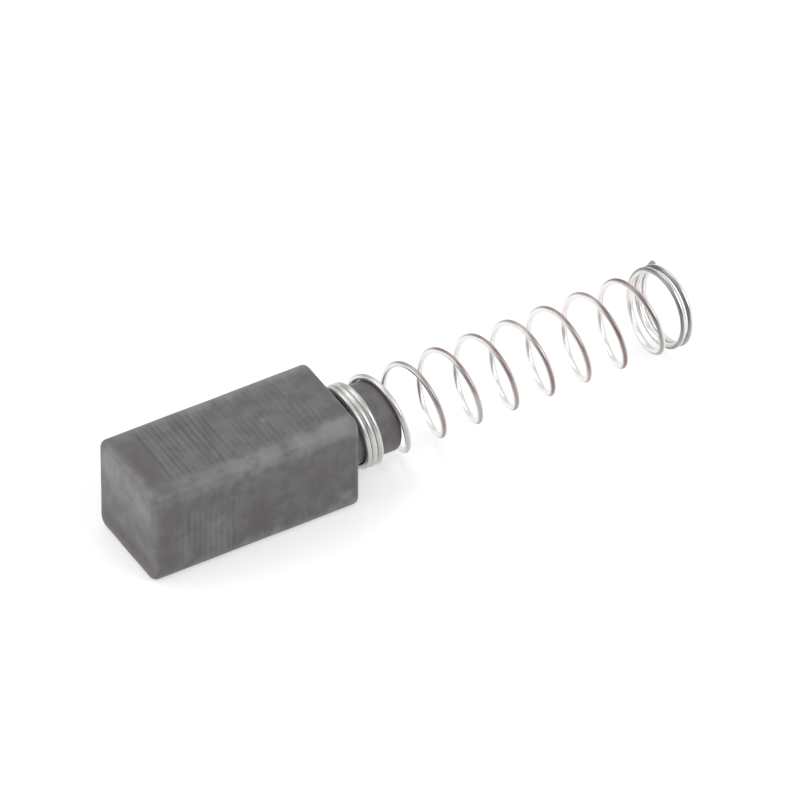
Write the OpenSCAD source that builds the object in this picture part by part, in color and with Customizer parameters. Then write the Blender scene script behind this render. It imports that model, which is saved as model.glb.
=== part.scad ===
// Carbon brush of a small motor: a square carbon block with a turned stud at
// its back, and a wire compression spring whose closed coils grip the stud.
//
// Millimetres. The origin is the centre of the contact face, +X runs along the
// brush towards the spring, and +Z is up with the block lying on one long side.

/* [Block] */
// Length of the block from the contact face to its back
block_l = 10.5; // [7:0.1:20]
// Width of the block across the brush holder
block_w = 5; // [4.6:0.1:8]
// Height of the block
block_h = 5; // [4.6:0.1:8]
// Rounding of the four long edges
long_edge_r = 0.55; // [0.35:0.05:0.8]
// Rounding round the contact face and round the back
end_edge_r = 0.3; // [0.1:0.05:0.35]

/* [Stud] */
// Diameter of the turned stud
stud_d = 3.46; // [2.8:0.02:3.8]
// Length of the stud behind the block
stud_l = 2.6; // [2.2:0.1:4]
// Fillet at the foot of the stud
stud_fillet_r = 0.15; // [0.1:0.05:0.35]
// Rounding of the stud's rim
stud_rim_r = 0.12; // [0.05:0.01:0.3]

/* [Spring] */
// Diameter of the spring wire
wire_d = 0.28; // [0.2:0.01:0.34]
// Outer diameter of the free coils
spring_od = 3.95; // [3.6:0.05:4.6]
// Spacing of the free coils along the axis
free_pitch = 1.87; // [1.2:0.01:2.6]
// Turns with the free spacing
free_turns = 8.3; // [4:0.1:14]
// Closed turns that grip the stud
grip_turns = 2.75; // [2:0.05:3]
// How far the gripping coils lean back at their rim
grip_lean = 0.16; // [0:0.01:0.2]
// Turns that close the far end
end_turns = 2.2; // [1.5:0.1:3]
// Spacing of the coils that close the far end
end_pitch = 0.37; // [0.36:0.01:0.8]
// How far the far end coils lean forwards and backwards at their rim
end_lean = 0.25; // [0:0.01:0.3]
// How far the cut tip of the wire stands out from its coil
tip_kick = 0.12; // [0:0.01:0.3]

/* [Fit] */
// Gap between the foot fillet and the first coil
first_coil_gap = 0.02; // [0.02:0.01:0.2]
// Gap between the gripping coils and the stud, all round
grip_clearance = 0.02; // [0.02:0.005:0.05]
// Gap between one closed coil and the next
coil_gap = 0.01; // [0.01:0.01:0.05]

/* [Smoothness] */
// Sides of the wire's section
wire_sides = 10; // [8:1:12]
// Sections along each turn of the wire
rings_per_turn = 26; // [24:1:30]

/* [Hidden] */
$fn = 64;

// The stud, which the spring takes its size and place from.
stud_r = stud_d / 2;
stud_end_x = block_l + stud_l;

// Radius of the wire's centre line, on the stud and along the free coils.
grip_r = stud_r + grip_clearance + wire_d / 2;
free_r = (spring_od - wire_d) / 2;

// The wire's route is measured in turns, which count from the wire's first
// section. It opens and closes its spacing over a part of a turn.
first_angle = 225;
blend_turns = 0.4;
grip_pitch = wire_d + coil_gap;
grip_start_x = block_l + stud_fillet_r + first_coil_gap + wire_d / 2;
free_start = grip_turns;
end_start = free_start + free_turns;
tip_turn = end_start + end_turns;

// Turn where the wire has passed the stud's rim, so that it may close in.
rim_turn = free_start + (stud_end_x + wire_d - grip_start_x - grip_pitch * grip_turns) / free_pitch;

// The gripping coils lean towards this angle, and come upright where the wire
// passes the opposite one on its way off the stud.
grip_lean_angle = 130;
upright_turn = ceil(free_start) + (grip_lean_angle + 180 - first_angle) / 360;

// The far end coils lean towards this angle, which is reached as they close.
end_lean_angle = 50;
lean_turns = 0.8;

// The last stretch of the wire bends outwards to its cut tip.
tip_turns = 0.08;

// Share of a change that is done at u, from 0 to 1, with a soft start and end.
function clamped(u) = max(0, min(1, u));
function eased(u) = let (c = clamped(u)) c * c * (3 - 2 * c);

// Turns made since a soft step of the given length, which is centred on at.
function turns_since(t, at, length) =
    let (u = (t - at) / length + 0.5)
    u <= 0 ? 0 : u >= 1 ? t - at : length * (pow(u, 3) - pow(u, 4) / 2);

// The wire's centre line at turn t: its place along the axis, its spacing
// there, its distance from the axis and its angle from +Z towards -Y.
function coil_pitch(t) =
    grip_pitch
    + (free_pitch - grip_pitch) * eased((t - free_start) / blend_turns + 0.5)
    + (end_pitch - free_pitch) * eased((t - end_start) / blend_turns + 0.5);
function coil_angle(t) = first_angle + 360 * t;
function grip_lean_at(t) =
    grip_lean * eased((upright_turn - t) / blend_turns + 0.5) * (1 + cos(coil_angle(t) - grip_lean_angle));
function end_lean_at(t) =
    end_lean * eased((t - end_start) / lean_turns + 1) * cos(coil_angle(t) - end_lean_angle);
function coil_x(t) =
    grip_start_x + grip_pitch * t
    + (free_pitch - grip_pitch) * turns_since(t, free_start, blend_turns)
    + (end_pitch - free_pitch) * turns_since(t, end_start, blend_turns)
    + grip_lean_at(t)
    + end_lean_at(t);
function coil_r(t) =
    grip_r
    + (free_r - grip_r) * eased((t - rim_turn) / blend_turns)
    + tip_kick * eased((t - tip_turn) / tip_turns + 1);

// One section of the wire, square to its centre line.
function wire_section(t) =
    let (
        a = coil_angle(t),
        out = [0, -sin(a), cos(a)],
        along = [coil_pitch(t), -2 * PI * coil_r(t) * cos(a), -2 * PI * coil_r(t) * sin(a)],
        side = cross(along / norm(along), out),
        centre = [coil_x(t), 0, 0] + coil_r(t) * out
    )
    [for (k = [0 : wire_sides - 1])
        let (b = 360 * k / wire_sides)
        centre + wire_d / 2 * (cos(b) * out + sin(b) * side)];

// Outline from the origin that is turned or drawn out, with its far corner round.
module rounded_strip(half_width, length, r) {
    square([half_width - r, length]);
    square([half_width, length - r]);
    translate([half_width - r, length - r]) intersection() {
        square(r);
        circle(r);
    }
}

// Lengthways outline of the block, with both ends rounded.
module block_outline(half_width) {
    translate([0, block_l / 2]) rounded_strip(half_width, block_l / 2, end_edge_r);
    translate([0, block_l / 2]) mirror([0, 1]) rounded_strip(half_width, block_l / 2, end_edge_r);
}

// Stands what is drawn along +Y, or turned about it, along the brush axis.
module along_axis() {
    rotate([90, 0, 90]) children();
}

// One quarter of the block, on the side of +Y and +Z: a long edge, with half
// of each side that meets it.
module block_quarter() {
    flat_w = block_w / 2 - long_edge_r;
    flat_h = block_h / 2 - long_edge_r;
    along_axis() {
        translate([flat_w, flat_h]) rotate_extrude(angle = 90) block_outline(long_edge_r);
        translate([0, flat_h]) rotate([90, 0, 90]) linear_extrude(flat_w) block_outline(long_edge_r);
        translate([flat_w, flat_h]) rotate([90, 0, 0]) linear_extrude(flat_h) block_outline(long_edge_r);
        cube([flat_w, flat_h, block_l]);
    }
}

module carbon_block() {
    color("dimgray") {
        for (side = [0, 1], face = [0, 1])
            mirror([0, side, 0]) mirror([0, 0, face]) block_quarter();
        translate([block_l, 0, 0]) rotate([0, 90, 0]) rotate_extrude() {
            rounded_strip(stud_r, stud_l, stud_rim_r);
            translate([stud_r, 0]) difference() {
                square(stud_fillet_r);
                translate([stud_fillet_r, stud_fillet_r]) circle(stud_fillet_r);
            }
        }
    }
}

module spring() {
    rings = ceil(tip_turn * rings_per_turn);
    last = rings * wire_sides;
    points = [for (i = [0 : rings]) each wire_section(tip_turn * i / rings)];
    side_faces = [for (i = [0 : rings - 1], k = [0 : wire_sides - 1])
        let (
            here = i * wire_sides + k,
            next = i * wire_sides + (k + 1) % wire_sides
        )
        each [[here, next, next + wire_sides], [here, next + wire_sides, here + wire_sides]]];
    start_cap = [for (k = [wire_sides - 1 : -1 : 0]) k];
    tip_cap = [for (k = [0 : wire_sides - 1]) last + k];
    color("silver") polyhedron(points, concat(side_faces, [start_cap, tip_cap]));
}

carbon_block();
spring();
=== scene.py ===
"""Looks of a small motor's carbon brush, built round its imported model.

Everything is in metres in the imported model's frame: the origin is the centre of
the contact face, +X runs along the brush towards the spring, and +Z is up.
"""

import logging
import math
from dataclasses import dataclass
from enum import Enum
from typing import Any, Callable, Sequence

import bmesh
import bpy
import numpy as np
from mathutils import Matrix, Vector, noise
from mathutils.kdtree import KDTree


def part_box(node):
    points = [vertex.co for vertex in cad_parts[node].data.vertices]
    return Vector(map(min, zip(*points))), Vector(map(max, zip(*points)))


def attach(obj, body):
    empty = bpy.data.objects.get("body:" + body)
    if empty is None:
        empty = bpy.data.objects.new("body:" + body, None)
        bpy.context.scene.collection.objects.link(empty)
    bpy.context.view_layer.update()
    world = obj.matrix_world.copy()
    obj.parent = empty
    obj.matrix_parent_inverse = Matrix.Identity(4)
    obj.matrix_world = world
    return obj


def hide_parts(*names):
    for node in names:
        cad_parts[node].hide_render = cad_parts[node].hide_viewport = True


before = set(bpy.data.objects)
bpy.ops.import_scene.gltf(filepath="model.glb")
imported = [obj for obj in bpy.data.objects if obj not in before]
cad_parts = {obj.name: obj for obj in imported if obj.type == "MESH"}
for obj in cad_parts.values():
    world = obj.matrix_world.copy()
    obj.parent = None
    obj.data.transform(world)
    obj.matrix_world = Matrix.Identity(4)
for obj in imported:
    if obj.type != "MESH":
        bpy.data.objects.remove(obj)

log = logging.getLogger("carbon_brush")

MM = 0.001
ROOT_BODY = "root"

# Vertices that are nearer than this are merged, and count as at one place.
MERGE_GAP = 0.0005 * MM

# The bevel profile that is a part of a circle.
ROUND_PROFILE = 0.5

Triple = tuple[float, float, float]
Colour = Triple
Range = tuple[float, float]
Numbers = np.ndarray | float


class At(Enum):
    """Whether a soft change starts, is half done or ends at its place."""

    START = 0.0
    MIDDLE = 0.5
    END = 1.0


def change(way: Numbers, place: Numbers, width: float, at: At = At.START) -> Numbers:
    """Returns 0 before a soft change of a width at a place on a way, and 1 after it."""
    held = np.clip((way - place) / width + at.value, 0.0, 1.0)
    return held * held * (3.0 - 2.0 * held)


def band(values: np.ndarray, limits: Range, fade: float) -> np.ndarray:
    """Returns 1 between two limits and 0 outside them, softly at each."""
    low, high = limits
    return change(values, low, fade, At.MIDDLE) * change(high, values, fade, At.MIDDLE)


@dataclass(frozen=True)
class Grain:
    """Smooth noise in grains of a size; a shift makes it another pattern."""

    size: Triple
    shift: float = 0.0

    def at(self, places: np.ndarray) -> np.ndarray:
        """Returns a number from about -1 to 1 for each place."""
        scaled = places / np.array(self.size) + self.shift
        return np.array([noise.noise(Vector(row)) for row in scaled])


# ---- Hand tools ----


class Part(Enum):
    """The parts of a mesh that can be selected."""

    EDGES = "edges"
    FACES = "faces"


class Bench:
    """Modelling tools that act on one object, with nothing else selected."""

    @staticmethod
    def clear() -> None:
        """Leaves object mode on, and nothing selected."""
        if bpy.context.object is not None and bpy.context.object.mode != "OBJECT":
            bpy.ops.object.mode_set(mode="OBJECT")
        bpy.ops.object.select_all(action="DESELECT")

    @staticmethod
    def take(piece: bpy.types.Object) -> None:
        """Makes a piece the only selected and active object.

        Args:
            piece: The object to work on.
        """
        Bench.clear()
        piece.select_set(True)
        bpy.context.view_layer.objects.active = piece

    @staticmethod
    def open(piece: bpy.types.Object) -> None:
        """Opens a piece in edit mode with nothing selected in it.

        Args:
            piece: The mesh object to edit.
        """
        Bench.take(piece)
        bpy.ops.object.mode_set(mode="EDIT")
        bpy.ops.mesh.select_mode(type="EDGE")
        bpy.ops.mesh.select_all(action="DESELECT")

    @staticmethod
    def close() -> None:
        """Goes back to object mode."""
        bpy.ops.object.mode_set(mode="OBJECT")

    @staticmethod
    def select(piece: bpy.types.Object, kind: Part, test: Callable[[Any], bool]) -> None:
        """Selects the parts of a piece that pass a test, and no others.

        Args:
            piece: The mesh object in edit mode.
            kind: The kind of part.
            test: Says of one part whether it is wanted.
        """
        bpy.ops.mesh.select_all(action="DESELECT")
        mesh = bmesh.from_edit_mesh(piece.data)
        for part in filter(test, getattr(mesh, kind.value)):
            part.select_set(True)
        mesh.select_flush_mode()
        bmesh.update_edit_mesh(piece.data)

    @staticmethod
    def along(part: bmesh.types.BMEdge | bmesh.types.BMFace) -> list[float]:
        """Returns how far along the brush each corner of an edge or a face is."""
        return [vertex.co.x for vertex in part.verts]

    @staticmethod
    def settle(piece: bpy.types.Object) -> None:
        """Merges a piece's doubles, turns its faces outwards and closes edit mode.

        Args:
            piece: The mesh object in edit mode.
        """
        bpy.ops.mesh.select_all(action="SELECT")
        bpy.ops.mesh.remove_doubles(threshold=MERGE_GAP)
        bpy.ops.mesh.normals_make_consistent(inside=False)
        Bench.close()

    @staticmethod
    def places(piece: bpy.types.Object) -> np.ndarray:
        """Reads where a piece's vertices are.

        Args:
            piece: The mesh object.

        Returns:
            One row of three for each vertex.
        """
        flat = np.zeros(len(piece.data.vertices) * 3)
        piece.data.vertices.foreach_get("co", flat)
        return flat.reshape(-1, 3)

    @staticmethod
    def add_attribute(piece: bpy.types.Object, name: str, values: np.ndarray) -> None:
        """Writes one value for each vertex, which a finish can read.

        Args:
            piece: The mesh object.
            name: The attribute's name.
            values: One number or one row of three for each vertex.
        """
        kind, key = ("FLOAT", "value") if values.ndim == 1 else ("FLOAT_VECTOR", "vector")
        attribute = piece.data.attributes.new(name, kind, "POINT")
        attribute.data.foreach_set(key, values.astype(np.float32).ravel())


# ---- Shader maths ----


class Value:
    """A shader socket with Python operators, each of which adds a Math node."""

    def __init__(self, graph: "Graph", socket: bpy.types.NodeSocket) -> None:
        """Wraps an output socket of a graph."""
        self.graph = graph
        self.socket = socket

    def _math(self, operation: str, first: Any, second: Any) -> "Value":
        """Returns the result of a Math node on two values."""
        settings, inputs = {"operation": operation}, {0: first, 1: second}
        return self.graph.value(self.graph.node("ShaderNodeMath", settings, inputs))

    def __add__(self, other: Any) -> "Value":
        """Returns self + other."""
        return self._math("ADD", self, other)

    def __radd__(self, other: Any) -> "Value":
        """Returns other + self."""
        return self._math("ADD", other, self)

    def __mul__(self, other: Any) -> "Value":
        """Returns self * other."""
        return self._math("MULTIPLY", self, other)

    def __rmul__(self, other: Any) -> "Value":
        """Returns other * self."""
        return self._math("MULTIPLY", other, self)


class Graph:
    """The node graph of a material or a world."""

    # The sockets of a Mix node on colours, which share their names with others.
    MIX_SHARE, MIX_FIRST, MIX_SECOND, MIX_RESULT = 0, 6, 7, 2

    def __init__(self, owner: bpy.types.Material | bpy.types.World) -> None:
        """Starts an empty graph.

        Args:
            owner: The material or world that has the graph.
        """
        owner.use_nodes = True
        self.tree = owner.node_tree
        self.tree.nodes.clear()

    def node(
        self, kind: str, settings: dict[str, Any], inputs: dict[str | int, Any]
    ) -> bpy.types.Node:
        """Adds a node.

        Args:
            kind: The node's type.
            settings: Its properties, set before its sockets.
            inputs: A number, a vector, a colour or a Value for each named socket.

        Returns:
            The new node.
        """
        made = self.tree.nodes.new(kind)
        for name, value in settings.items():
            setattr(made, name, value)
        for key, value in inputs.items():
            socket = made.inputs[key]
            if isinstance(value, Value):
                self.tree.links.new(value.socket, socket)
            else:
                is_colour = socket.type == "RGBA"
                socket.default_value = (*value, 1.0) if is_colour else value
        return made

    def value(self, made: bpy.types.Node, output: str | int = 0) -> Value:
        """Returns an output of a node as a Value."""
        return Value(self, made.outputs[output])

    def place(self) -> Value:
        """Returns the point's place on the object, in metres."""
        return self.value(self.node("ShaderNodeTexCoord", {}, {}), "Object")

    def attribute(self, name: str, output: str = "Fac") -> Value:
        """Returns an attribute that the mesh holds for each vertex."""
        made = self.node("ShaderNodeAttribute", {"attribute_name": name}, {})
        return self.value(made, output)

    def grains(
        self,
        place: Value,
        size: Triple,
        detail: float = 2.0,
        coarseness: float = 0.5,
        shift: Triple = (0.0, 0.0, 0.0),
    ) -> Value:
        """Adds soft noise.

        Args:
            place: The vector that the noise is laid out on.
            size: The size of a grain along each axis of that vector.
            detail: How many finer layers the noise has.
            coarseness: How strong the finer layers are.
            shift: Moves the pattern, so that two of them can differ.

        Returns:
            A number about 0.5.
        """
        moved = self.node(
            "ShaderNodeMapping",
            {},
            {
                "Vector": place,
                "Scale": tuple(1 / length for length in size),
                "Location": shift,
            },
        )
        made = self.node(
            "ShaderNodeTexNoise",
            {"noise_dimensions": "3D"},
            {
                "Vector": self.value(moved),
                "Scale": 1.0,
                "Detail": detail,
                "Roughness": coarseness,
            },
        )
        return self.value(made)

    def ramp(self, value: Value, limits: Range) -> Value:
        """Adds a soft change.

        Args:
            value: The value that the change goes by.
            limits: Where the result leaves 0, and where it reaches 1.

        Returns:
            A number from 0 to 1.
        """
        made = self.node(
            "ShaderNodeMapRange",
            {"interpolation_type": "SMOOTHSTEP", "clamp": True},
            {"Value": value, "From Min": limits[0], "From Max": limits[1]},
        )
        return self.value(made)

    def blend(self, share: Value, first: Any, second: Any) -> Value:
        """Adds a blend of two colours.

        Args:
            share: 0 for the first colour and 1 for the second.
            first: A colour or a Value.
            second: A colour or a Value.

        Returns:
            The blended colour.
        """
        inputs = {self.MIX_SHARE: share, self.MIX_FIRST: first, self.MIX_SECOND: second}
        made = self.node("ShaderNodeMix", {"data_type": "RGBA"}, inputs)
        return self.value(made, self.MIX_RESULT)

    def bump(self, height: Value, depth: float, strength: float) -> Value:
        """Returns a normal tilted by a height, where 1 stands for a depth in metres."""
        inputs = {"Height": height, "Distance": depth, "Strength": strength}
        return self.value(self.node("ShaderNodeBump", {}, inputs), "Normal")

    def seen_directly(self) -> Value:
        """Tells what is seen, by itself or mirrored, from what gives light.

        Returns:
            1 for rays from the camera and for mirrored ones, and 0 for light.
        """
        path = self.node("ShaderNodeLightPath", {}, {})
        seen = self.value(path, "Is Camera Ray") + self.value(path, "Is Glossy Ray")
        return seen + self.value(path, "Is Transmission Ray")

    def end(self, kind: str, inputs: dict[str | int, Any]) -> None:
        """Ends a material's graph in a kind of shader with some inputs."""
        shader = self.value(self.node(kind, {}, inputs))
        self.node("ShaderNodeOutputMaterial", {}, {"Surface": shader})


# ---- Finishes ----


@dataclass(frozen=True)
class CarbonFinish:
    """Pressed carbon-graphite: matt, faintly mottled, with machining marks. Its colour
    holds painted shade in the grooves, on the lower contact face and at the stud's rim,
    and painted highlights on the ridges, along the edges and on the upper contact face.

    A range says at which values of a pattern its colour starts to show and is
    full, and a share how much of that colour then shows.
    """

    name: str = "pressed_carbon"
    body: Colour = (0.119, 0.114, 0.116)
    pale: Colour = (0.163, 0.158, 0.160)
    # groove is the dark of random streaks and grain, and also painted shade in the
    # machining grooves; ridge is a painted highlight on the ridges between them.
    groove: Colour = (0.078, 0.073, 0.076)
    ridge: Colour = (0.185, 0.180, 0.182)
    # rubbed is the pale of rubbed streaks and scuffs, and also of the painted highlights
    # on the edges and the upper contact face.
    rubbed_and_highlight: Colour = (0.285, 0.277, 0.277)
    # stain is the reddish dark of real stains, and also painted shade on the lower
    # contact face and at the stud's rim.
    stain_and_shade: Colour = (0.088, 0.060, 0.065)
    mottle_size: float = 0.8 * MM
    mottle_detail: float = 4.0
    grain_size: float = 0.07 * MM
    grain_detail: float = 2.0
    coarseness: float = 0.6
    streak_size: Triple = (0.13 * MM, 1.2 * MM, 1.2 * MM)
    streak_shift: Triple = (3.1, 0.7, 5.2)
    pale_range: Range = (0.36, 0.64)
    streak_range: Range = (0.50, 0.80)
    streak_share: float = 0.30
    grain_range: Range = (0.55, 0.80)
    grain_share: float = 0.30
    # The machining marks paint shade into their grooves and a highlight onto their
    # ridges.
    groove_shade_range: Range = (0.0, 0.9)
    groove_shade_share: float = 0.90
    ridge_highlight_range: Range = (0.0, -0.9)
    ridge_highlight_share: float = 0.65
    grain_in_stain_and_shade: float = 0.4
    stain_and_shade_range: Range = (0.40, 0.85)
    grain_in_rubbed_and_highlight: float = 0.3
    rubbed_and_highlight_range: Range = (0.20, 0.75)
    roughness: float = 0.46
    grain_roughness: float = 0.12
    rubbed_and_highlight_roughness: float = 0.03
    specular: float = 0.5
    grain_height: float = 0.6
    streak_height: float = 0.8
    relief_depth: float = 0.004 * MM
    relief_strength: float = 0.8

    def make(self) -> bpy.types.Material:
        """Makes the finish.

        Returns:
            The carbon material.
        """
        material = bpy.data.materials.new(self.name)
        g = Graph(material)
        place = g.place()
        mottle, grain = (
            g.grains(place, (size,) * 3, detail, self.coarseness)
            for size, detail in (
                (self.mottle_size, self.mottle_detail),
                (self.grain_size, self.grain_detail),
            )
        )
        streak = g.grains(place, self.streak_size, shift=self.streak_shift)
        mark, rubbed_and_highlight = g.attribute("mark"), g.attribute("rubbed_and_highlight")
        stain_and_shade_noise = mottle + grain * self.grain_in_stain_and_shade
        rub_and_highlight_noise = mottle + grain * self.grain_in_rubbed_and_highlight

        colour = g.blend(g.ramp(mottle, self.pale_range), self.body, self.pale)
        for pattern, limits, share, tint in (
            (streak, self.streak_range, self.streak_share, self.groove),
            (grain, self.grain_range, self.grain_share, self.groove),
            # The marks paint shade into the grooves and a highlight onto the ridges.
            (mark, self.groove_shade_range, self.groove_shade_share, self.groove),
            (mark, self.ridge_highlight_range, self.ridge_highlight_share, self.ridge),
            (stain_and_shade_noise, self.stain_and_shade_range, g.attribute("stain_and_shade"), self.stain_and_shade),
            (rub_and_highlight_noise, self.rubbed_and_highlight_range, rubbed_and_highlight, self.rubbed_and_highlight),
        ):
            colour = g.blend(g.ramp(pattern, limits) * share, colour, tint)
        steady = self.roughness - self.grain_roughness / 2
        rough = grain * self.grain_roughness + rubbed_and_highlight * self.rubbed_and_highlight_roughness + steady
        height = grain * self.grain_height + streak * self.streak_height
        inputs = {
            "Base Color": colour,
            "Roughness": rough,
            "Normal": g.bump(height, self.relief_depth, self.relief_strength),
            "Specular IOR Level": self.specular,
        }
        g.end("ShaderNodeBsdfPrincipled", inputs)
        return material


class Tarnish(Enum):
    """The kinds of tarnish, in their order along the wire."""

    DULL = 0.0
    BROWN = 1.0
    GREY = 2.0


@dataclass(frozen=True)
class SpringWireFinish:
    """Drawn spring steel: bright inside, and darker outside, where a painted dark
    reflection is tinted as tarnish.

    Its patterns are laid out along the wire and across it, in millimetres.
    """

    name: str = "drawn_spring_steel"
    bright: Colour = (0.860, 0.852, 0.840)
    dull: Colour = (0.505, 0.505, 0.492)
    brown: Colour = (0.238, 0.166, 0.158)
    grey: Colour = (0.165, 0.154, 0.154)
    line_size: Triple = (1.6, 0.035, 0.035)
    line_range: Range = (0.45, 0.80)
    line_share: float = 0.14
    patch_size: Triple = (2.2, 1 / 3, 1 / 3)
    patch_detail: float = 3.0
    patch_shift: Triple = (0.4, 2.0, 1.0)
    patch_range: Range = (0.25, 0.65)
    patch_share: float = 0.35
    roughness: float = 0.27
    line_roughness: float = 0.14
    tarnish_roughness: float = 0.05
    line_depth: float = 0.0012 * MM
    line_strength: float = 0.7

    def make(self) -> bpy.types.Material:
        """Makes the finish.

        Returns:
            The wire material.
        """
        material = bpy.data.materials.new(self.name)
        g = Graph(material)
        wire = g.attribute("wire_place", "Vector")
        lines = g.grains(wire, self.line_size)
        patches = g.grains(
            wire, self.patch_size, self.patch_detail, shift=self.patch_shift
        )
        # The tarnish's hue lies over a painted dark reflection on the outer side of the
        # wire.
        tarnish_and_dark_reflection, kind = g.attribute("tarnish_and_dark_reflection"), g.attribute("tarnish_kind")

        browned = g.ramp(kind, (Tarnish.DULL.value, Tarnish.BROWN.value))
        greyed = g.ramp(kind, (Tarnish.BROWN.value, Tarnish.GREY.value))
        tarnish = g.blend(greyed, g.blend(browned, self.dull, self.brown), self.grey)
        even = 1 - self.patch_share
        share = tarnish_and_dark_reflection * (g.ramp(patches, self.patch_range) * self.patch_share + even)
        colour = g.blend(share, self.bright, tarnish)
        drawn = g.ramp(lines, self.line_range) * self.line_share
        colour = g.blend(drawn, colour, self.dull)
        steady = self.roughness - self.line_roughness / 2
        rough = lines * self.line_roughness + tarnish_and_dark_reflection * self.tarnish_roughness + steady
        inputs = {
            "Base Color": colour,
            "Metallic": 1.0,
            "Roughness": rough,
            "Normal": g.bump(lines, self.line_depth, self.line_strength),
        }
        g.end("ShaderNodeBsdfPrincipled", inputs)
        return material


# ---- Wear, and painted highlight and shade ----


class BlockSide(Enum):
    """The block's faces, each with its outward direction and its own two axes."""

    TOP = ((0.0, 0.0, 1.0), 0, 1)
    BOTTOM = ((0.0, 0.0, -1.0), 0, 1)
    NEAR = ((0.0, -1.0, 0.0), 0, 2)
    FAR = ((0.0, 1.0, 0.0), 0, 2)
    CONTACT = ((-1.0, 0.0, 0.0), 1, 2)

    @property
    def outwards(self) -> Triple:
        """The direction that the side faces."""
        return self.value[0]

    @property
    def axes(self) -> tuple[int, int]:
        """The two axes that lie in the side."""
        return self.value[1], self.value[2]


# How deep under a side its zones still act, in millimetres.
SIDE_DEPTH = 0.3


@dataclass(frozen=True)
class Zone:
    """A soft-edged patch of one side, in millimetres along that side's two axes."""

    side: BlockSide
    along: Range
    across: Range
    fade: float
    strength: float

    def shares(self, places: np.ndarray, reach: float) -> np.ndarray:
        """Works out how strongly the zone acts on each place.

        Args:
            places: One row of three for each place, in millimetres.
            reach: The distance of the zone's side from the origin.

        Returns:
            0 outside the zone, and the zone's strength well inside it.
        """
        along, across = (places[:, axis] for axis in self.side.axes)
        depth = reach - places @ np.array(self.side.outwards)
        return (
            self.strength
            * band(along, self.along, self.fade)
            * band(across, self.across, self.fade)
            * (1 - change(depth, 0.0, SIDE_DEPTH))
        )


MARKED: tuple[Zone, ...] = (
    Zone(BlockSide.TOP, (1.25, 5.0), (-1.75, 2.2), 0.8, 0.90),
    Zone(BlockSide.TOP, (5.0, 9.5), (-1.75, 0.4), 0.8, 0.65),
    Zone(BlockSide.TOP, (5.0, 9.0), (0.4, 2.2), 0.8, 0.45),
    Zone(BlockSide.NEAR, (1.2, 4.2), (-2.2, 0.9), 0.8, 0.75),
    Zone(BlockSide.NEAR, (4.2, 9.6), (-2.0, 1.6), 0.8, 0.25),
    Zone(BlockSide.FAR, (1.2, 9.5), (-2.0, 2.0), 0.8, 0.6),
    Zone(BlockSide.BOTTOM, (1.2, 9.5), (-2.0, 2.0), 0.8, 0.8),
)

STAINED_AND_SHADED: tuple[Zone, ...] = (
    Zone(BlockSide.TOP, (0.45, 1.10), (-1.35, 0.95), 0.5, 0.65),
    Zone(BlockSide.NEAR, (0.35, 1.10), (-2.2, 1.7), 0.6, 0.35),
    Zone(BlockSide.NEAR, (4.8, 5.9), (-1.6, 0.3), 0.9, 0.6),
    Zone(BlockSide.NEAR, (7.2, 9.6), (-0.6, 1.2), 0.9, 0.25),
    # Painted shade: the contact face gets darker towards its bottom.
    Zone(BlockSide.CONTACT, (-2.3, 2.3), (-2.0, -1.2), 0.7, 1.0),
)

# The two contact-face zones paint a highlight on its upper part, and the top zone from
# 8.8 mm paints the near ridge's highlight; the rest are pale streaks and scuffs.
RUBBED_AND_HIGHLIT: tuple[Zone, ...] = (
    Zone(BlockSide.CONTACT, (-2.3, 2.3), (0.5, 2.6), 1.6, 0.62),
    Zone(BlockSide.CONTACT, (0.0, 2.3), (0.7, 2.5), 1.4, 0.80),
    Zone(BlockSide.NEAR, (1.4, 2.2), (-2.2, -0.4), 0.6, 0.30),
    Zone(BlockSide.NEAR, (2.8, 3.9), (-2.2, 0.2), 0.6, 0.30),
    Zone(BlockSide.NEAR, (9.5, 10.1), (-1.8, -1.3), 0.4, 0.6),
    Zone(BlockSide.TOP, (6.80, 6.95), (-0.28, -0.12), 0.2, 0.9),
    Zone(BlockSide.TOP, (8.8, 10.3), (-2.5, -1.8), 0.5, 0.8),
)

# How strongly a highlight is painted along the long edges at some places along the block,
# which are in millimetres from the contact face.
EDGE_HIGHLIGHT_PLACES = (0.3, 1.6, 2.4, 3.6, 5.0, 6.3, 6.8, 8.0, 10.2)
EDGE_HIGHLIGHT_SHARES = (0.30, 0.30, 0.55, 0.50, 0.90, 0.80, 0.65, 0.90, 1.00)


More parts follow.
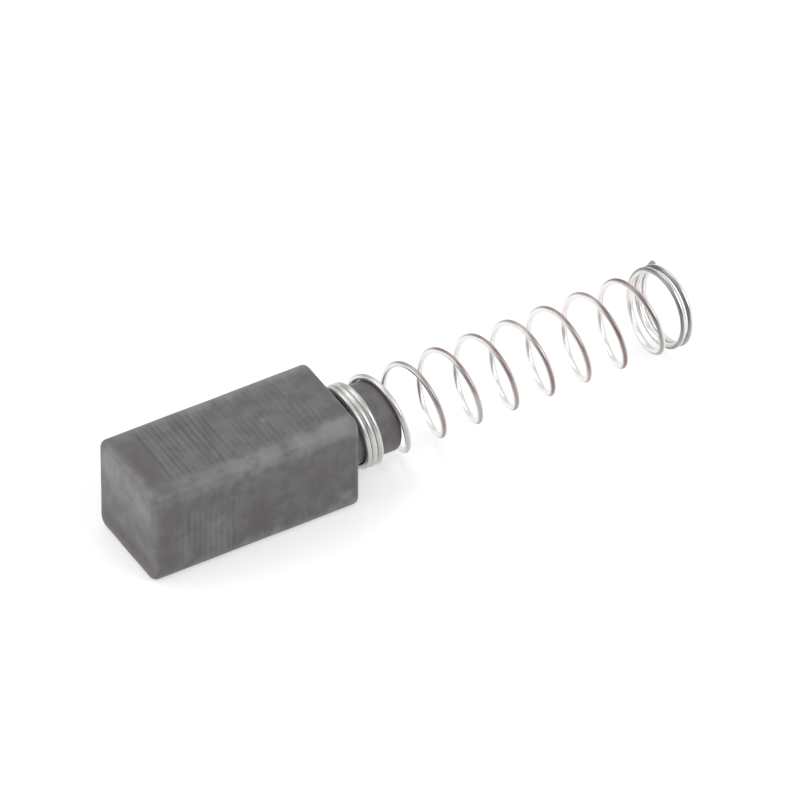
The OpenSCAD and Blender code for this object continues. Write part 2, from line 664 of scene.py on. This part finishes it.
@dataclass(frozen=True)
class BlockWear:
    """How strongly the block is marked, waved, rubbed and stained, and where highlight
    and shade are painted on it.

    A step gives where a soft change starts, and how long it is.
    """

    mark_spacing: float = 0.29 * MM
    mark_depth: float = 0.012 * MM
    mark_share: float = 0.8
    wobble: Grain = Grain((1.4 * MM, 3.5 * MM, 3.5 * MM))
    wobble_share: float = 0.35
    scratch: Grain = Grain((0.19 * MM, 2.2 * MM, 2.2 * MM), 7.3)
    scratch_share: float = 0.7
    strength: Grain = Grain((0.8 * MM, 1.4 * MM, 1.4 * MM), 3.1)
    strength_step: Range = (-0.8, 0.9)
    least_strength: float = 0.35
    wave: Grain = Grain((1.5 * MM, 1.5 * MM, 1.5 * MM), 2.2)
    wave_depth: float = 0.020 * MM
    wave_end: float = 0.4 * MM
    wave_fade: float = 0.3 * MM
    # These lay the painted highlight along the long edges and round the contact face's
    # rim.
    edge_reach: float = 0.62 * MM
    edge_fade: float = 0.60 * MM
    ragged: Grain = Grain((0.3 * MM, 0.9 * MM, 0.9 * MM), 1.7)
    ragged_reach: float = 0.24 * MM
    patchy: Grain = Grain((0.8 * MM, 0.8 * MM, 0.8 * MM), 5.9)
    patchy_mean: float = 0.85
    patchy_share: float = 0.30
    front_step: Range = (0.02 * MM, 0.35 * MM)
    front_share: float = 0.65
    back_margin: float = 0.05 * MM
    # Painted shade on the stud next to its rim, where the coil shades it.
    rim_shade_length: float = 0.80 * MM
    rim_shade_fade: float = 0.50 * MM
    rim_shade_step: Range = (1.1 * MM, 0.5 * MM)
    rim_shade_share: float = 0.85


# ---- Carbon block and stud ----


@dataclass
class CarbonBlock:
    """The square block and the stud turned on its back, in one piece."""

    length: float = 10.5 * MM
    width: float = 5.0 * MM
    height: float = 5.0 * MM
    long_edge_radius: float = 0.55 * MM
    end_edge_radius: float = 0.3 * MM
    stud_radius: float = 1.73 * MM
    stud_length: float = 2.6 * MM
    fillet_radius: float = 0.15 * MM
    rim_radius: float = 0.12 * MM
    edge_steps: int = 9
    end_steps: int = 6
    stud_sides: int = 112
    stud_rings: tuple[float, ...] = (0.25, 0.5, 0.75)
    cut_spacing: float = 0.04 * MM
    side_cuts: int = 24
    wear: BlockWear = BlockWear()

    def build(self) -> bpy.types.Object:
        """Models the block and its stud.

        Returns:
            The finished mesh object, undressed.
        """
        piece = self._rounded_bar()
        self._cut_into_grid(piece)
        self._add_stud(piece)
        Bench.settle(piece)
        self._wear_down(piece)
        Bench.take(piece)
        bpy.ops.object.shade_smooth()
        return piece

    def dress(self, piece: bpy.types.Object, finish: CarbonFinish) -> None:
        """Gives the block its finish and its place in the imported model.

        Args:
            piece: The block's mesh object.
            finish: The carbon finish.
        """
        piece.data.materials.clear()
        piece.data.materials.append(finish.make())
        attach(piece, ROOT_BODY)
        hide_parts("carbon_block")

    def _is_long(self, edge: bmesh.types.BMEdge) -> bool:
        """Returns whether an edge runs the length of the block."""
        return max(Bench.along(edge)) - min(Bench.along(edge)) > self.length / 2

    def _is_at_end(self, edge: bmesh.types.BMEdge) -> bool:
        """Returns whether an edge lies in the contact face or in the back."""
        places, back = Bench.along(edge), self.length - MERGE_GAP
        return max(places) < MERGE_GAP or min(places) > back

    def _is_open_at_back(self, edge: bmesh.types.BMEdge) -> bool:
        """Returns whether an edge bounds the hole in the block's back."""
        at_back = all(abs(x - self.length) < MERGE_GAP for x in Bench.along(edge))
        return at_back and len(edge.link_faces) == 1

    def _rounded_bar(self) -> bpy.types.Object:
        """Models a bar with its edges rounded and its back open.

        Returns:
            The bar, in edit mode.
        """
        Bench.clear()
        bpy.ops.mesh.primitive_cube_add(size=1.0, location=(self.length / 2, 0.0, 0.0))
        piece = bpy.context.object
        piece.name = piece.data.name = "block_and_stud"
        piece.scale = (self.length, self.width, self.height)
        bpy.ops.object.transform_apply(location=True, rotation=True, scale=True)

        Bench.open(piece)
        for test, radius, steps in (
            (self._is_long, self.long_edge_radius, self.edge_steps),
            (self._is_at_end, self.end_edge_radius, self.end_steps),
        ):
            Bench.select(piece, Part.EDGES, test)
            bpy.ops.mesh.bevel(offset=radius, segments=steps, profile=ROUND_PROFILE)
        back = self.length - MERGE_GAP
        Bench.select(piece, Part.FACES, lambda face: min(Bench.along(face)) > back)
        bpy.ops.mesh.delete(type="ONLY_FACE")
        return piece

    def _cut_into_grid(self, piece: bpy.types.Object) -> None:
        """Cuts the sides finely, so that wear can be shaped into them.

        Args:
            piece: The bar, in edit mode.
        """
        run = self.length - 2 * self.end_edge_radius
        Bench.select(piece, Part.EDGES, self._is_long)
        bpy.ops.mesh.subdivide(number_cuts=round(run / self.cut_spacing))
        for axis, size in ((1, self.width), (2, self.height)):
            flat = size - 2 * self.long_edge_radius
            normal = tuple(float(i == axis) for i in range(3))
            for step in range(1, self.side_cuts):
                at = -flat / 2 + flat * step / self.side_cuts
                bpy.ops.mesh.select_all(action="SELECT")
                bpy.ops.mesh.bisect(
                    plane_co=tuple(at * n for n in normal), plane_no=normal
                )

    def _stud_profile(self) -> list[tuple[float, float]]:
        """Works out the stud's outline, from its foot to near its centre.

        Returns:
            Places along the brush, each with a radius.
        """
        steps = range(self.end_steps + 1)
        quarter = [math.pi / 2 * step / self.end_steps for step in steps]
        foot, rim, radius = self.fillet_radius, self.rim_radius, self.stud_radius
        end = self.length + self.stud_length
        fillet = [
            (self.length + foot * (1 - math.cos(a)), radius + foot * (1 - math.sin(a)))
            for a in quarter
        ]
        start = fillet[-1][0]
        shank = [
            (start + (end - rim - start) * share, radius) for share in self.stud_rings
        ]
        edge = [
            (end - rim * (1 - math.sin(a)), radius - rim * (1 - math.cos(a)))
            for a in quarter
        ]
        face = [(end, edge[-1][1] * share) for share in reversed(self.stud_rings)]
        return fillet + shank + edge + face

    def _add_stud(self, piece: bpy.types.Object) -> None:
        """Draws the stud out of a ring and joins it to the block's open back.

        Args:
            piece: The bar, in edit mode.
        """
        profile = self._stud_profile()
        bpy.ops.mesh.select_all(action="DESELECT")
        bpy.ops.mesh.primitive_circle_add(
            vertices=self.stud_sides,
            radius=profile[0][1],
            location=(profile[0][0], 0.0, 0.0),
            rotation=(0.0, math.pi / 2, 0.0),
        )
        for (x0, r0), (x1, r1) in zip(profile, profile[1:]):
            bpy.ops.mesh.extrude_edges_move(
                TRANSFORM_OT_translate={"value": (x1 - x0, 0.0, 0.0)}
            )
            if abs(r1 - r0) > MERGE_GAP:
                bpy.ops.transform.resize(
                    value=(1.0, r1 / r0, r1 / r0), center_override=(x1, 0.0, 0.0)
                )
        bpy.ops.mesh.edge_face_add()
        Bench.select(piece, Part.EDGES, self._is_open_at_back)
        bpy.ops.mesh.bridge_edge_loops()

    def _zone_shares(self, places: np.ndarray, zones: Sequence[Zone]) -> np.ndarray:
        """Works out how strongly some zones act on each place.

        Args:
            places: One row of three for each place.
            zones: The zones, of which the strongest one acts.

        Returns:
            A share from 0 to 1 for each place.
        """
        half = np.array([0.0, self.width, self.height]) / 2
        reaches = [abs(half @ np.array(zone.side.outwards)) / MM for zone in zones]
        shares = [zone.shares(places / MM, reach) for zone, reach in zip(zones, reaches)]
        return np.max(shares, axis=0)

    def _marks(self, places: np.ndarray) -> np.ndarray:
        """Works out the machining marks.

        Args:
            places: One row of three for each place.

        Returns:
            For each place 1 in a groove, -1 on a ridge and 0 on a plain side.
        """
        wear = self.wear
        wobble = wear.wobble_share * wear.wobble.at(places)
        line = np.cos(2 * math.pi * (places[:, 0] / wear.mark_spacing + wobble))
        marks = wear.mark_share * line + wear.scratch_share * wear.scratch.at(places)
        strong = change(wear.strength.at(places), *wear.strength_step)
        strength = wear.least_strength + (1 - wear.least_strength) * strong
        return np.clip(marks, -1.0, 1.0) * (self._zone_shares(places, MARKED) * strength)

    def _rubbed_and_highlight(self, places: np.ndarray) -> np.ndarray:
        """Works out where the block is rubbed pale, and where highlights are painted
        along its long edges, round the contact face's rim and on the contact face's upper
        part.

        Args:
            places: One row of three for each place.

        Returns:
            A share from 0 to 1 for each place.
        """
        wear, along = self.wear, places[:, 0]
        into = np.array([self.width, self.height]) / 2 - np.abs(places[:, 1:])
        reach = wear.edge_reach + wear.ragged_reach * wear.ragged.at(places)
        corner = 1 - change(np.max(into, axis=1), reach, wear.edge_fade, At.MIDDLE)
        growth = np.interp(along / MM, EDGE_HIGHLIGHT_PLACES, EDGE_HIGHLIGHT_SHARES)
        patchy = wear.patchy_mean + wear.patchy_share * wear.patchy.at(places)
        front = 1 - change(along, *wear.front_step)
        rim = 1 - change(np.min(into, axis=1), *wear.front_step)
        on_block = along < self.length - wear.back_margin
        # Painted highlight along the long edges, stronger towards the stud, and round the
        # contact face's rim.
        edges = np.maximum(corner * growth * patchy, front * rim * wear.front_share)
        zones = self._zone_shares(places, RUBBED_AND_HIGHLIT)
        return np.clip(np.maximum(edges * on_block, zones), 0.0, 1.0)

    def _stain_and_shade(self, places: np.ndarray) -> np.ndarray:
        """Works out where the block is stained, and where shade is painted on the lower
        contact face and on the stud near its rim.

        Args:
            places: One row of three for each place.

        Returns:
            A share from 0 to 1 for each place.
        """
        wear = self.wear
        # Painted shade on the stud next to its rim.
        start = self.length + self.stud_length - wear.rim_shade_length
        behind = change(places[:, 0], start, wear.rim_shade_fade)
        outside = change(np.hypot(places[:, 1], places[:, 2]), *wear.rim_shade_step)
        rim = wear.rim_shade_share * behind * outside
        return np.maximum(self._zone_shares(places, STAINED_AND_SHADED), rim)

    def _wear_down(self, piece: bpy.types.Object) -> None:
        """Writes the wear, and the painted highlight and shade, for the finish, and
        shapes marks and waves into the block.

        Args:
            piece: The block's mesh object.
        """
        wear, places = self.wear, Bench.places(piece)
        marks = self._marks(places)
        past = change(places[:, 0], self.length - wear.wave_end, wear.wave_fade)
        waves = (1 - past) * ((1 + wear.wave.at(places)) / 2)
        Bench.add_attribute(piece, "mark", marks)
        Bench.add_attribute(piece, "rubbed_and_highlight", self._rubbed_and_highlight(places))
        Bench.add_attribute(piece, "stain_and_shade", self._stain_and_shade(places))
        self._press(piece, "marks", wear.mark_depth, np.maximum(marks, 0.0))
        self._press(piece, "waves", wear.wave_depth, np.clip(waves, 0.0, 1.0))

    @staticmethod
    def _press(
        piece: bpy.types.Object, name: str, depth: float, shares: np.ndarray
    ) -> None:
        """Presses a piece's surface inwards.

        Args:
            piece: The mesh object.
            name: What the pattern is called.
            depth: How deep it goes at most.
            shares: How much of that depth each vertex takes.
        """
        group = piece.vertex_groups.new(name=name)
        for index, share in enumerate(shares):
            if share > 0.0:
                group.add([index], float(share), "REPLACE")
        modifier = piece.modifiers.new(name, "DISPLACE")
        modifier.vertex_group = group.name
        modifier.direction = "NORMAL"
        modifier.strength = -depth
        modifier.mid_level = 0.0
        Bench.take(piece)
        bpy.ops.object.modifier_apply(modifier=modifier.name)
        piece.vertex_groups.clear()


# ---- Spring ----


@dataclass(frozen=True)
class WireTarnishAndDarkReflection:
    """Where round the wire, and how soon along it, the tarnish and its painted dark
    reflection come.

    It lies on the outer side of the coils, turned a little towards the block, where it
    paints a dark reflection tinted as tarnish; more faintly on the flank that faces the
    far end, and at the cut ends. A step gives where a soft change starts and how long it
    is, in wire radii round the wire and in metres along it.
    """

    angle: float = math.radians(18)
    end_angle: float = math.radians(50)
    outer_step: Range = (0.54, 0.42)
    flank_step: Range = (0.60, 0.35)
    flank_share: float = 0.6
    cut_step: Range = (0.20 * MM, 0.35 * MM)
    brown_turns: float = 2.6
    grey_turns: float = 1.2


@dataclass
class CompressionSpring:
    """The wire spring, whose closed coils grip the stud."""

    wire_radius: float = 0.14 * MM
    outer_radius: float = 1.975 * MM
    grip_radius: float = 1.89 * MM
    grip_start: float = 10.81 * MM
    grip_pitch: float = 0.29 * MM
    free_pitch: float = 1.87 * MM
    end_pitch: float = 0.37 * MM
    grip_turns: float = 2.75
    free_turns: float = 8.3
    end_turns: float = 2.19
    grip_lean: float = 0.16 * MM
    end_lean: float = 0.243 * MM
    tip_kick: float = 0.12 * MM
    stud_end: float = 13.1 * MM
    first_angle: float = math.radians(225)
    grip_lean_angle: float = math.radians(130)
    end_lean_angle: float = math.radians(50)
    blend_turns: float = 0.4
    lean_turns: float = 0.8
    tip_turns: float = 0.08
    rings_per_turn: int = 84
    round_steps: int = 8
    tip_bevel: float = 0.028 * MM
    tip_bevel_steps: int = 3
    sharpest_smooth: float = math.radians(40)
    tarnish: WireTarnishAndDarkReflection = WireTarnishAndDarkReflection()

    @property
    def turns(self) -> float:
        """The turns of wire in all."""
        return self.grip_turns + self.free_turns + self.end_turns

    @property
    def end_start(self) -> float:
        """The turn at which the far end starts to close."""
        return self.grip_turns + self.free_turns

    def _since(self, turn: np.ndarray, at: float) -> np.ndarray:
        """Works out the turns made since a soft step in the spacing.

        Args:
            turn: The turns to judge.
            at: The turn at the middle of the step.

        Returns:
            The turns made since the step, for each turn.
        """
        share = (turn - at) / self.blend_turns + At.MIDDLE.value
        within = self.blend_turns * (share**3 - share**4 / 2)
        return np.where(share <= 0, 0.0, np.where(share >= 1, turn - at, within))

    def _angle(self, turn: np.ndarray) -> np.ndarray:
        """Returns the angle from +Z towards -Y."""
        return self.first_angle + 2 * math.pi * turn

    def _along(self, turn: np.ndarray) -> np.ndarray:
        """Works out how far along the brush the wire's centre line is.

        Args:
            turn: The turns to judge.

        Returns:
            The place along the brush, for each turn.
        """
        angle = self._angle(turn)
        opposite = self.grip_lean_angle + math.pi - self.first_angle
        upright = math.ceil(self.grip_turns) + opposite / (2 * math.pi)
        leaning = self.grip_lean * change(upright, turn, self.blend_turns, At.MIDDLE)
        tilting = self.end_lean * change(turn, self.end_start, self.lean_turns, At.END)
        return (
            self.grip_start
            + self.grip_pitch * turn
            + (self.free_pitch - self.grip_pitch) * self._since(turn, self.grip_turns)
            + (self.end_pitch - self.free_pitch) * self._since(turn, self.end_start)
            + leaning * (1 + np.cos(angle - self.grip_lean_angle))
            + tilting * np.cos(angle - self.end_lean_angle)
        )

    def _radius(self, turn: np.ndarray) -> np.ndarray:
        """Works out how far from the axis the wire's centre line is.

        Args:
            turn: The turns to judge.

        Returns:
            The distance from the axis, for each turn.
        """
        widening = self.outer_radius - self.wire_radius - self.grip_radius
        passed = self.stud_end + 2 * self.wire_radius - self.grip_start
        gripped = self.grip_pitch * self.grip_turns
        rim_turn = self.grip_turns + (passed - gripped) / self.free_pitch
        return (
            self.grip_radius
            + widening * change(turn, rim_turn, self.blend_turns)
            + self.tip_kick * change(turn, self.turns, self.tip_turns, At.END)
        )

    def _route(self) -> tuple[np.ndarray, np.ndarray]:
        """Works out the sections of the wire.

        Returns:
            The turn of each section, and the place of its centre.
        """
        turn = np.linspace(0.0, self.turns, round(self.turns * self.rings_per_turn) + 1)
        angle, radius = self._angle(turn), self._radius(turn)
        centre = np.stack(
            [self._along(turn), -radius * np.sin(angle), radius * np.cos(angle)], axis=1
        )
        return turn, centre

    def build(self) -> bpy.types.Object:
        """Draws the wire along its route and cuts its ends.

        Returns:
            The finished mesh object, undressed.
        """
        turn, centre = self._route()
        curve = bpy.data.curves.new("spring_wire", "CURVE")
        curve.dimensions = "3D"
        curve.twist_mode = "MINIMUM"
        curve.bevel_depth = self.wire_radius
        curve.bevel_resolution = self.round_steps
        curve.use_fill_caps = True
        spline = curve.splines.new("POLY")
        spline.points.add(len(centre) - 1)
        spline.points.foreach_set("co", np.c_[centre, np.ones(len(centre))].ravel())
        piece = bpy.data.objects.new("compression_spring", curve)
        bpy.context.scene.collection.objects.link(piece)
        Bench.take(piece)
        bpy.ops.object.convert(target="MESH")
        piece = bpy.context.object
        piece.data.name = "compression_spring"
        Bench.open(piece)
        Bench.settle(piece)
        self._mark_wire(piece, turn, centre)
        self._cut_ends(piece)
        Bench.take(piece)
        bpy.ops.object.shade_smooth_by_angle(angle=self.sharpest_smooth)
        return piece

    def dress(self, piece: bpy.types.Object, finish: SpringWireFinish) -> None:
        """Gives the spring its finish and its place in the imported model.

        Args:
            piece: The spring's mesh object.
            finish: The wire finish.
        """
        piece.data.materials.clear()
        piece.data.materials.append(finish.make())
        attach(piece, ROOT_BODY)
        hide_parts("spring")

    def _mark_wire(
        self, piece: bpy.types.Object, turn: np.ndarray, centre: np.ndarray
    ) -> None:
        """Writes where on the wire each vertex is, and its tarnish and painted dark
        reflection, for the finish.

        Args:
            piece: The spring's mesh object, as the curve gave it.
            turn: The turn of each section.
            centre: The centre of each section.
        """
        places = Bench.places(piece)
        finder = KDTree(len(centre))
        for index, point in enumerate(centre):
            finder.insert(point, index)
        finder.balance()
        section = np.array([finder.find(point)[1] for point in places])
        angle = self._angle(turn)
        out = np.stack([0 * angle, -np.sin(angle), np.cos(angle)], axis=1)
        side = np.cross(np.gradient(centre, axis=0), out)
        side /= np.linalg.norm(side, axis=1)[:, None]
        offset = places - centre[section]
        outwards = np.sum(offset * out[section], axis=1)
        sideways = np.sum(offset * side[section], axis=1)
        length = np.r_[0.0, np.cumsum(np.linalg.norm(np.diff(centre, axis=0), axis=1))]
        to_end = np.minimum(length, length[-1] - length)
        place = np.stack([length[section], outwards, sideways], axis=1) / MM
        Bench.add_attribute(piece, "wire_place", place)
        self._tarnish_and_darken_wire(piece, turn[section], to_end[section], outwards, sideways)

    def _tarnish_and_darken_wire(
        self,
        piece: bpy.types.Object,
        turn: np.ndarray,
        to_end: np.ndarray,
        outwards: np.ndarray,
        sideways: np.ndarray,
    ) -> None:
        """Writes how much tarnish and painted dark reflection each vertex has, and of
        what kind.

        Args:
            piece: The spring's mesh object.
            turn: The turn that each vertex is at.
            to_end: How far each vertex is from the nearer end of the wire.
            outwards: How far each is from the wire's centre, away from the axis.
            sideways: How far each is from the wire's centre, towards the block.
        """
        tarnish = self.tarnish
        past_grip = (turn - self.grip_turns) / tarnish.brown_turns
        browned = np.clip(past_grip, 0.0, Tarnish.BROWN.value)
        greyed = change(turn, self.end_start, tarnish.grey_turns, At.END)
        angle = tarnish.angle + (tarnish.end_angle - tarnish.angle) * greyed
        # The outer band paints a dark reflection, tinted with tarnish.
        turned = outwards * np.cos(angle) + sideways * np.sin(angle)
        outer = change(turned / self.wire_radius, *tarnish.outer_step)
        flank = change(-sideways / self.wire_radius, *tarnish.flank_step)
        cut = 1 - change(to_end, *tarnish.cut_step)
        tarnish_and_dark_reflection = np.max([outer, tarnish.flank_share * flank, cut], axis=0)
        Bench.add_attribute(piece, "tarnish_and_dark_reflection", tarnish_and_dark_reflection)
        Bench.add_attribute(piece, "tarnish_kind", browned + greyed)

    def _cut_ends(self, piece: bpy.types.Object) -> None:
        """Takes the burr off both cut ends, whose faces alone have many corners.

        Args:
            piece: The spring's mesh object.
        """
        side_corners = 4
        Bench.open(piece)
        Bench.select(piece, Part.FACES, lambda face: len(face.verts) > side_corners)
        bpy.ops.mesh.bevel(
            offset=self.tip_bevel, segments=self.tip_bevel_steps, profile=ROUND_PROFILE
        )
        bpy.ops.mesh.select_all(action="SELECT")
        bpy.ops.mesh.normals_make_consistent(inside=False)
        Bench.close()


# ---- Studio ----


def direction(azimuth: float, elevation: float) -> Vector:
    """Returns the unit vector at an azimuth, 0 for -Y and 90 for +X, in degrees."""
    a, e = math.radians(azimuth), math.radians(elevation)
    return Vector((math.sin(a) * math.cos(e), -math.cos(a) * math.cos(e), math.sin(e)))


@dataclass(frozen=True)
class Softbox:
    """A square area lamp that points at the brush, in degrees and metres."""

    name: str
    azimuth: float
    elevation: float
    distance: float
    size: float
    radiance: float

    def place(self, target: Vector) -> None:
        """Adds the lamp.

        Args:
            target: The point that the lamp faces.
        """
        data = bpy.data.lights.new(self.name, "AREA")
        data.shape = "SQUARE"
        data.size = self.size
        data.energy = math.pi * self.size**2 * self.radiance
        lamp = bpy.data.objects.new(self.name, data)
        bpy.context.scene.collection.objects.link(lamp)
        towards = direction(self.azimuth, self.elevation)
        lamp.location = target + towards * self.distance
        lamp.rotation_euler = towards.to_track_quat("Z", "Y").to_euler()


SOFTBOXES: tuple[Softbox, ...] = (
    Softbox("back_softbox", 180.0, 62.0, 0.9, 0.6, 1.4),
    Softbox("front_softbox", 30.0, 41.0, 0.9, 0.6, 2.2),
    Softbox("left_softbox", -112.0, 26.0, 0.9, 0.7, 1.7),
    Softbox("high_softbox", -47.0, 57.0, 0.9, 0.25, 1.5),
)


@dataclass
class Studio:
    """A pale floor in soft light, with the camera above one end of the block."""

    azimuth: float = -30.17
    elevation: float = 41.10
    distance: float = 0.7
    look_at: Triple = (9.0 * MM, 0.0, 0.0)
    sideways: float = 4.293 * MM
    upwards: float = 1.936 * MM
    lens: float = 711.4
    sensor: float = 36.0
    nearest_seen: float = 0.05
    furthest_seen: float = 20.0
    floor_size: float = 4.0
    floor_shade: float = 0.86
    floor_glow: float = 0.42
    fill_light: float = 0.50
    backdrop_glow: float = 1.0
    card_azimuth: float = -25.0
    card_elevation: float = 20.0
    card_distance: float = 0.5
    card_radius: float = 0.20
    card_sides: int = 64
    card_shade: float = 0.30

    def build(self) -> None:
        """Adds the camera, floor, world, dark card and lamps."""
        self._camera()
        self._floor()
        self._world()
        self._card()
        for box in SOFTBOXES:
            box.place(Vector(self.look_at))
            log.info("lamp %s", box.name)

    def _camera(self) -> None:
        """Adds the camera, moved sideways and up so that it sees the whole brush."""
        a = math.radians(self.azimuth)
        back = direction(self.azimuth, self.elevation)
        right = Vector((math.cos(a), math.sin(a), 0.0))
        up = back.cross(right)
        data = bpy.data.cameras.new("camera")
        data.lens = self.lens
        data.sensor_width = self.sensor
        data.clip_start = self.nearest_seen
        data.clip_end = self.furthest_seen
        camera = bpy.data.objects.new("camera", data)
        bpy.context.scene.collection.objects.link(camera)
        centre = Vector(self.look_at) + right * self.sideways + up * self.upwards
        camera.matrix_world = Matrix.Translation(centre + back * self.distance) @ (
            Matrix((right, up, back)).transposed().to_4x4()
        )
        bpy.context.scene.camera = camera
        bpy.context.scene.view_settings.view_transform = "Standard"

    def _floor(self) -> None:
        """Adds the pale floor under the block, which keeps the brush's shadow."""
        Bench.clear()
        low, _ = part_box("carbon_block")
        bpy.ops.mesh.primitive_plane_add(size=self.floor_size, location=(0.0, 0.0, low.z))
        floor = bpy.context.object
        floor.name = floor.data.name = "floor"
        bpy.ops.object.transform_apply(location=True, rotation=True, scale=True)
        paint = bpy.data.materials.new("floor_paint")
        graph = Graph(paint)
        strength = graph.seen_directly() * self.floor_glow
        glow = graph.node("ShaderNodeEmission", {}, {"Strength": strength})
        matt = graph.node("ShaderNodeBsdfDiffuse", {}, {"Color": (self.floor_shade,) * 3})
        graph.end("ShaderNodeAddShader", {0: graph.value(matt), 1: graph.value(glow)})
        floor.data.materials.append(paint)

    def _world(self) -> None:
        """Adds even light from all round, and a white backdrop."""
        world = bpy.data.worlds.new("studio")
        graph = Graph(world)
        brighter = self.backdrop_glow - self.fill_light
        strength = graph.seen_directly() * brighter + self.fill_light
        glow = graph.node("ShaderNodeBackground", {}, {"Strength": strength})
        graph.node("ShaderNodeOutputWorld", {}, {"Surface": graph.value(glow)})
        bpy.context.scene.world = world

    def _card(self) -> None:
        """Adds a dark card below the camera, which only polished metal shows."""
        Bench.clear()
        bpy.ops.mesh.primitive_circle_add(
            vertices=self.card_sides, radius=self.card_radius, fill_type="NGON"
        )
        card = bpy.context.object
        card.name = card.data.name = "dark_card"
        towards = direction(self.card_azimuth, self.card_elevation)
        card.location = Vector(self.look_at) + towards * self.card_distance
        card.rotation_euler = towards.to_track_quat("Z", "Y").to_euler()
        bpy.ops.object.transform_apply(location=True, rotation=True, scale=True)
        felt = bpy.data.materials.new("card_felt")
        Graph(felt).end("ShaderNodeBsdfDiffuse", {"Color": (self.card_shade,) * 3})
        card.data.materials.append(felt)
        card.visible_camera = False
        card.visible_diffuse = False
        card.visible_shadow = False
        card.visible_transmission = False


# ---- The whole scene ----


def main() -> None:
    """Builds the studio, the block and the spring, in that order."""
    logging.basicConfig(level=logging.INFO, format="%(name)s: %(message)s")
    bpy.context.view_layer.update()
    Studio().build()
    for maker, finish in (
        (CarbonBlock(), CarbonFinish()),
        (CompressionSpring(), SpringWireFinish()),
    ):
        piece = maker.build()
        maker.dress(piece, finish)
        log.info("piece %s: %d faces", piece.name, len(piece.data.polygons))


if __name__ == "__main__":
    main()
